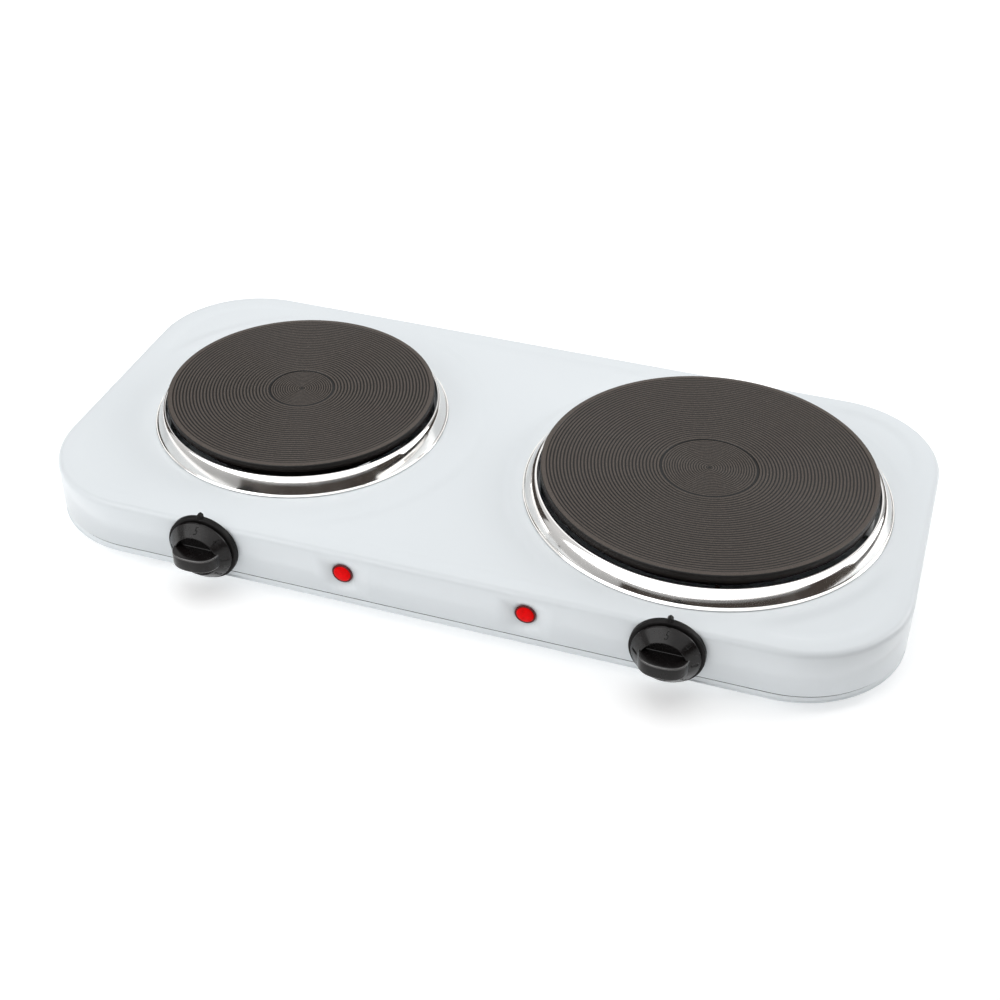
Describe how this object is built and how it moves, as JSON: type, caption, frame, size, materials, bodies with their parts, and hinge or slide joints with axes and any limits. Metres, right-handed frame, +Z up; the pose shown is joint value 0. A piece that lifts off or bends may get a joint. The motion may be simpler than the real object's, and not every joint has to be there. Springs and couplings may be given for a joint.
{
  "type": "double electric hot plate",
  "caption": "Table-top electric hot plate: white pressed-steel housing with a small and a large cast-iron plate in stainless rings, numbered control knobs and red indicator lamps.",
  "frame": {"origin": "on the floor, under the middle of the whole appliance's bounding box", "axes": "+X along the housing towards the large plate, +Y towards the mains inlet at the back, -Y is the control side, +Z up"},
  "size_m": [0.484, 0.2572, 0.0558],
  "materials": {
    "white_enamel": "smooth gloss white stove enamel with a faint cool tint",
    "cast_iron": "turned concentric grooves under a matt black heat-proof coating",
    "stainless": "polished stainless sheet",
    "black_plastic": "semi-gloss black thermoset moulding",
    "red_lens": "translucent glossy red",
    "clear_glass": "clear neon lamp envelope",
    "ceramic": "unglazed white ceramic",
    "zinc_steel": "zinc-plated steel",
    "brass": "plain brass",
    "rubber": "matt black rubber",
    "brown_lead": "silicone-sleeved lead, brown",
    "blue_lead": "silicone-sleeved lead, blue"
  },
  "bodies": {
    "appliance": {"base_pan": "white_enamel", "earth_nut": "brass", "earth_stud": "zinc_steel", "front_left_base_screw": "zinc_steel", "front_left_foot": "rubber", "front_left_tab": "zinc_steel", "front_right_base_screw": "zinc_steel", "front_right_foot": "rubber", "front_right_tab": "zinc_steel", "inlet_bush": "black_plastic", "left_bushing_nut": "zinc_steel", "left_center_stud": "zinc_steel", "left_clamp_bridge": "zinc_steel", "left_clamp_nut": "zinc_steel", "left_element_cover": "zinc_steel", "left_heating_element": "ceramic", "left_hot_plate": "cast_iron", "left_knob_bezel": "black_plastic", "left_lamp_clip": "zinc_steel", "left_lamp_lens": "red_lens", "left_neon_bulb": "clear_glass", "left_neutral_lead": "blue_lead", "left_plate_lead": "brown_lead", "left_plate_terminal": "ceramic", "left_supply_lead": "brown_lead", "left_thermostat": "ceramic", "left_trim_ring": "stainless", "mains_terminal": "ceramic", "rear_left_base_screw": "zinc_steel", "rear_left_foot": "rubber", "rear_left_tab": "zinc_steel", "rear_right_base_screw": "zinc_steel", "rear_right_foot": "rubber", "rear_right_tab": "zinc_steel", "right_bushing_nut": "zinc_steel", "right_center_stud": "zinc_steel", "right_clamp_bridge": "zinc_steel", "right_clamp_nut": "zinc_steel", "right_element_cover": "zinc_steel", "right_heating_element": "ceramic", "right_hot_plate": "cast_iron", "right_knob_bezel": "black_plastic", "right_lamp_clip": "zinc_steel", "right_lamp_lens": "red_lens", "right_neon_bulb": "clear_glass", "right_neutral_lead": "blue_lead", "right_plate_lead": "brown_lead", "right_plate_terminal": "ceramic", "right_supply_lead": "brown_lead", "right_thermostat": "ceramic", "right_trim_ring": "stainless", "top_housing": "white_enamel"},
    "left_dial": {"left_knob": "black_plastic", "left_knob_shaft": "zinc_steel"},
    "right_dial": {"right_knob": "black_plastic", "right_knob_shaft": "zinc_steel"}
  },
  "joints": [
    {"name": "left_knob_turn", "type": "hinge", "parent": "appliance", "child": "left_dial", "pos_m": [-0.128, -0.1087, 0.0263], "axis": [0, -1, 0], "range_deg": [0, 270]},
    {"name": "right_knob_turn", "type": "hinge", "parent": "appliance", "child": "right_dial", "pos_m": [0.128, -0.1087, 0.0263], "axis": [0, -1, 0], "range_deg": [0, 270]}
  ]
}
